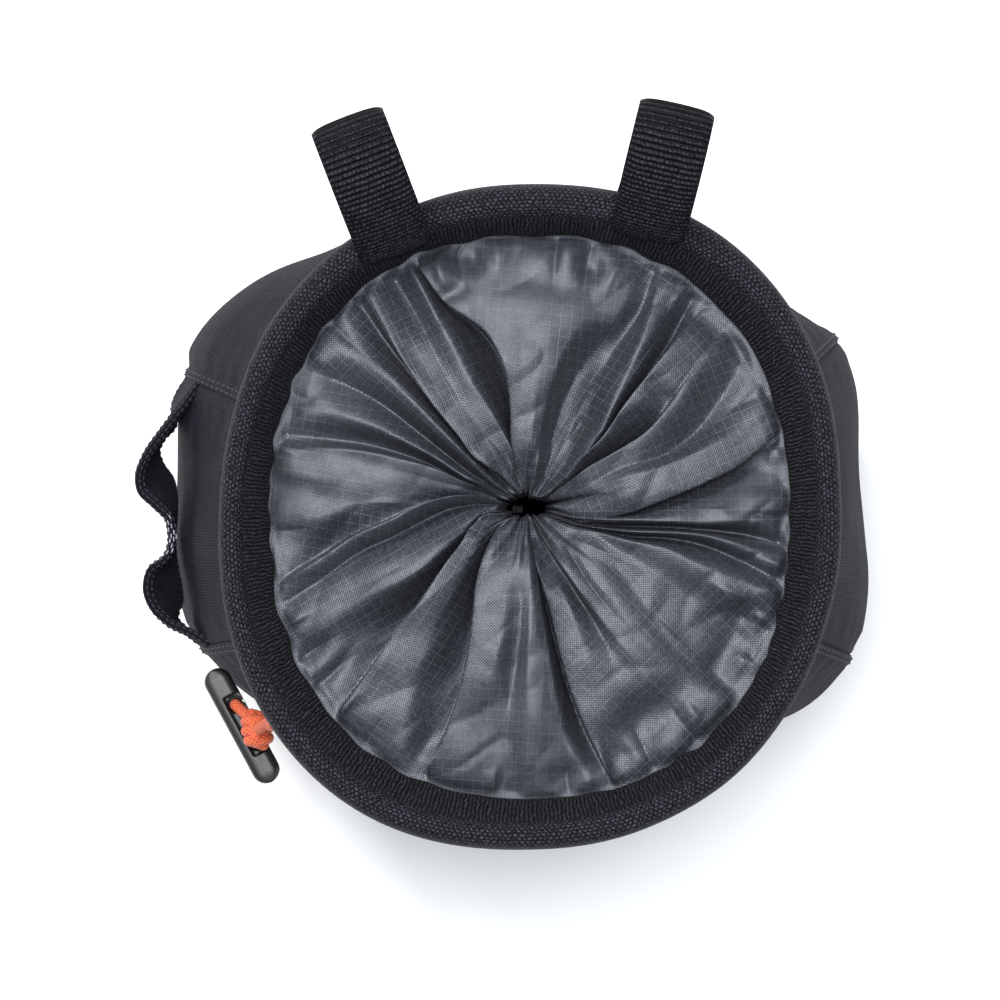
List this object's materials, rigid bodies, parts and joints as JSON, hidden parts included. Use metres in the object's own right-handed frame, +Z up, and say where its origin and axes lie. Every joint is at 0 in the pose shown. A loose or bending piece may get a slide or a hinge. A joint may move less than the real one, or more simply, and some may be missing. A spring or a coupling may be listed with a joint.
{
  "type": "climbing chalk bag",
  "caption": "Standing drawstring chalk bag with a cinched ripstop collar, padded oval rim, belt loops, brush loops and a corded pull.",
  "frame": {"origin": "centre of the base's underside, on the surface that the bag stands on", "axes": "+Z up through the mouth, +Y towards the back with the belt loops, +X towards the right side"},
  "size_m": [0.1551, 0.1501, 0.1698],
  "materials": {
    "nylon": "matt woven nylon",
    "webbing": "ribbed dark webbing",
    "ripstop": "satin grey ripstop nylon",
    "cord": "braided orange cord",
    "plastic": "moulded black plastic"
  },
  "bodies": {
    "root": {"back_panel": "nylon", "left_side_panel": "nylon", "front_panel": "nylon", "right_side_panel": "nylon", "base_panel": "nylon", "rim_roll": "webbing", "rim_facing": "webbing", "collar": "ripstop", "belt_loop_left": "webbing", "belt_loop_right": "webbing", "brush_strip": "nylon", "cord_eyelet": "plastic", "pull_cord": "cord", "cord_knot": "cord", "pull_handle": "plastic"}
  },
  "joints": []
}
